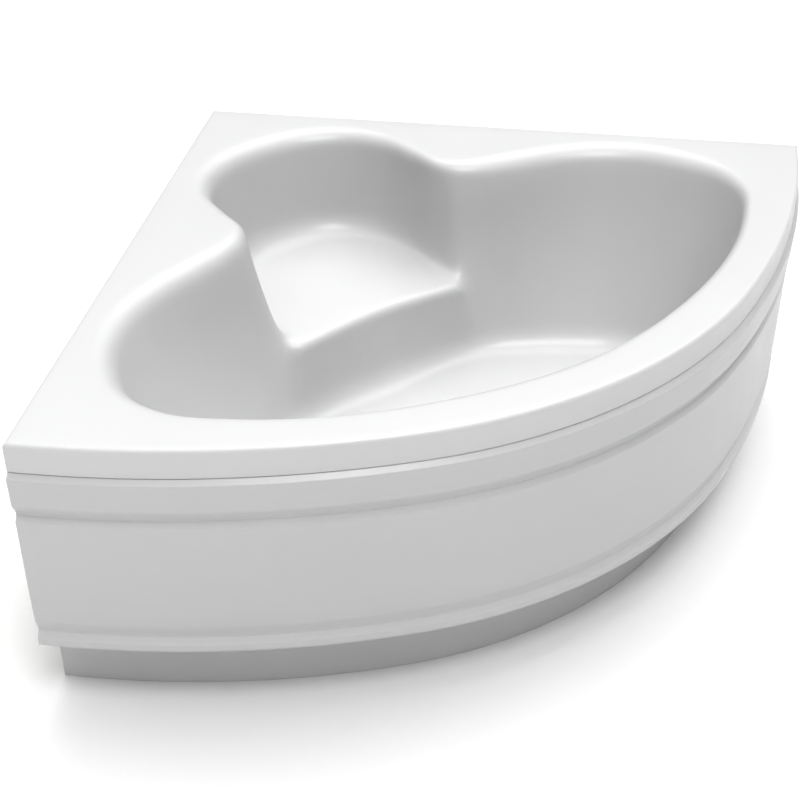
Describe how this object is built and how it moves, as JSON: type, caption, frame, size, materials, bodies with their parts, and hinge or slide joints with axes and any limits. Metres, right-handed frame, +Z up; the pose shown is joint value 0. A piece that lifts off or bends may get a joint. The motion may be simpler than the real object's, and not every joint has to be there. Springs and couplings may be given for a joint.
{
  "type": "acrylic corner bathtub",
  "caption": "Symmetric corner bathtub in white acrylic with a moulded corner seat, a removable curved front panel, a steel frame on screw feet and a pop-up waste with a turning overflow.",
  "frame": {"origin": "middle of the box that the whole bath fills, on the floor of the room", "axes": "+X runs to the right along the back wall, +Y runs to the back wall, +Z is up; the room corner is at the left back (-X, +Y) and the curved front faces the right front (+X, -Y)"},
  "size_m": [1.409, 1.409, 0.615],
  "materials": {
    "bath_shell": "high gloss white acrylic",
    "glassfibre_backing": "rough glass fibre and resin",
    "base_board": "plain board sealed with resin",
    "seat_board": "plain board sealed with resin",
    "rim_batten_left": "planed softwood",
    "rim_batten_back": "planed softwood",
    "rim_batten_front": "planed softwood",
    "spine_rail": "grey zinc-rich paint",
    "cross_rail_left": "grey zinc-rich paint",
    "cross_rail_right": "grey zinc-rich paint",
    "front_arm_left": "grey zinc-rich paint",
    "front_arm_right": "grey zinc-rich paint",
    "corner_post": "grey zinc-rich paint",
    "left_post": "grey zinc-rich paint",
    "right_post": "grey zinc-rich paint",
    "front_strut_left": "grey zinc-rich paint",
    "front_strut_right": "grey zinc-rich paint",
    "seat_strut": "grey zinc-rich paint",
    "board_screws": "bright zinc plate",
    "weld_nuts": "bright zinc plate",
    "lock_nuts": "bright zinc plate",
    "magnet_catches": "moulded case with a magnet in it",
    "wall_hanger_left": "bright zinc plate",
    "wall_hanger_back": "bright zinc plate",
    "waste_flange": "polished chrome",
    "waste_top_washer": "soft rubber",
    "waste_bottom_washer": "soft rubber",
    "waste_body": "white moulded plastic",
    "trap_inlet_nut": "white moulded plastic",
    "trap_bend": "white moulded plastic",
    "trap_outlet_nut": "white moulded plastic",
    "outlet_pipe": "white moulded plastic",
    "overflow_collar": "polished chrome",
    "overflow_gasket": "soft rubber",
    "overflow_body": "white moulded plastic",
    "hose_nut_top": "white moulded plastic",
    "overflow_hose": "white moulded plastic",
    "hose_nut_bottom": "white moulded plastic",
    "control_cable": "black sheath",
    "front_panel": "high gloss white acrylic",
    "panel_batten": "planed softwood",
    "strike_plates": "bright zinc plate",
    "overflow_knob": "polished chrome",
    "knob_crank": "bright zinc plate",
    "plug_cap": "polished chrome",
    "plug_stem": "bright zinc plate",
    "plug_seal": "soft rubber",
    "lift_lever": "bright zinc plate",
    "foot_stud_corner": "bright zinc plate",
    "foot_stud_left": "bright zinc plate",
    "foot_stud_right": "bright zinc plate",
    "foot_stud_seat": "bright zinc plate",
    "foot_stud_front_left": "bright zinc plate",
    "foot_stud_front_right": "bright zinc plate",
    "foot_pad_corner": "moulded nylon",
    "foot_pad_left": "moulded nylon",
    "foot_pad_right": "moulded nylon",
    "foot_pad_seat": "moulded nylon",
    "foot_pad_front_left": "moulded nylon",
    "foot_pad_front_right": "moulded nylon"
  },
  "bodies": {
    "bath": {"bath_shell": "bath_shell", "glassfibre_backing": "glassfibre_backing", "base_board": "base_board", "seat_board": "seat_board", "rim_batten_left": "rim_batten_left", "rim_batten_back": "rim_batten_back", "rim_batten_front": "rim_batten_front", "spine_rail": "spine_rail", "cross_rail_left": "cross_rail_left", "cross_rail_right": "cross_rail_right", "front_arm_left": "front_arm_left", "front_arm_right": "front_arm_right", "corner_post": "corner_post", "left_post": "left_post", "right_post": "right_post", "front_strut_left": "front_strut_left", "front_strut_right": "front_strut_right", "seat_strut": "seat_strut", "board_screws": "board_screws", "weld_nuts": "weld_nuts", "lock_nuts": "lock_nuts", "magnet_catches": "magnet_catches", "wall_hanger_left": "wall_hanger_left", "wall_hanger_back": "wall_hanger_back", "waste_flange": "waste_flange", "waste_top_washer": "waste_top_washer", "waste_bottom_washer": "waste_bottom_washer", "waste_body": "waste_body", "trap_inlet_nut": "trap_inlet_nut", "trap_bend": "trap_bend", "trap_outlet_nut": "trap_outlet_nut", "outlet_pipe": "outlet_pipe", "overflow_collar": "overflow_collar", "overflow_gasket": "overflow_gasket", "overflow_body": "overflow_body", "hose_nut_top": "hose_nut_top", "overflow_hose": "overflow_hose", "hose_nut_bottom": "hose_nut_bottom", "control_cable": "control_cable"},
    "front_panel": {"front_panel": "front_panel", "panel_batten": "panel_batten", "strike_plates": "strike_plates"},
    "overflow_knob": {"overflow_knob": "overflow_knob", "knob_crank": "knob_crank"},
    "plug": {"plug_cap": "plug_cap", "plug_stem": "plug_stem", "plug_seal": "plug_seal"},
    "lift_lever": {"lift_lever": "lift_lever"},
    "foot_corner": {"foot_stud_corner": "foot_stud_corner", "foot_pad_corner": "foot_pad_corner"},
    "foot_left": {"foot_stud_left": "foot_stud_left", "foot_pad_left": "foot_pad_left"},
    "foot_right": {"foot_stud_right": "foot_stud_right", "foot_pad_right": "foot_pad_right"},
    "foot_seat": {"foot_stud_seat": "foot_stud_seat", "foot_pad_seat": "foot_pad_seat"},
    "foot_front_left": {"foot_stud_front_left": "foot_stud_front_left", "foot_pad_front_left": "foot_pad_front_left"},
    "foot_front_right": {"foot_stud_front_right": "foot_stud_front_right", "foot_pad_front_right": "foot_pad_front_right"}
  },
  "joints": [
    {"name": "panel_slide", "type": "slide", "parent": "bath", "child": "front_panel", "axis": [0.7071, -0.7071, 0], "range_m": [0, 0.25]},
    {"name": "knob_turn", "type": "hinge", "parent": "bath", "child": "overflow_knob", "pos_m": [0.25375, -0.25375, 0.52], "axis": [-0.6925, 0.6925, 0.2024], "range_deg": [0, 120]},
    {"name": "plug_lift", "type": "slide", "parent": "bath", "child": "plug", "axis": [0, 0, 1], "range_m": [0, 0.01]},
    {"name": "lever_tilt", "type": "hinge", "parent": "bath", "child": "lift_lever", "pos_m": [0.14474, -0.14474, 0.15214], "axis": [0.7071, 0.7071, 0], "range_deg": [0, 36]},
    {"name": "foot_corner_height", "type": "slide", "parent": "bath", "child": "foot_corner", "axis": [0, 0, 1], "range_m": [-0.012, 0.012]},
    {"name": "foot_left_height", "type": "slide", "parent": "bath", "child": "foot_left", "axis": [0, 0, 1], "range_m": [-0.012, 0.012]},
    {"name": "foot_right_height", "type": "slide", "parent": "bath", "child": "foot_right", "axis": [0, 0, 1], "range_m": [-0.012, 0.012]},
    {"name": "foot_seat_height", "type": "slide", "parent": "bath", "child": "foot_seat", "axis": [0, 0, 1], "range_m": [-0.012, 0.012]},
    {"name": "foot_front_left_height", "type": "slide", "parent": "bath", "child": "foot_front_left", "axis": [0, 0, 1], "range_m": [-0.012, 0.012]},
    {"name": "foot_front_right_height", "type": "slide", "parent": "bath", "child": "foot_front_right", "axis": [0, 0, 1], "range_m": [-0.012, 0.012]}
  ],
  "couplings": [
    {"joint": "plug_lift", "follows": "knob_turn", "m_per_rad": 0.0047269},
    {"joint": "lever_tilt", "follows": "knob_turn", "ratio": 0.299}
  ]
}
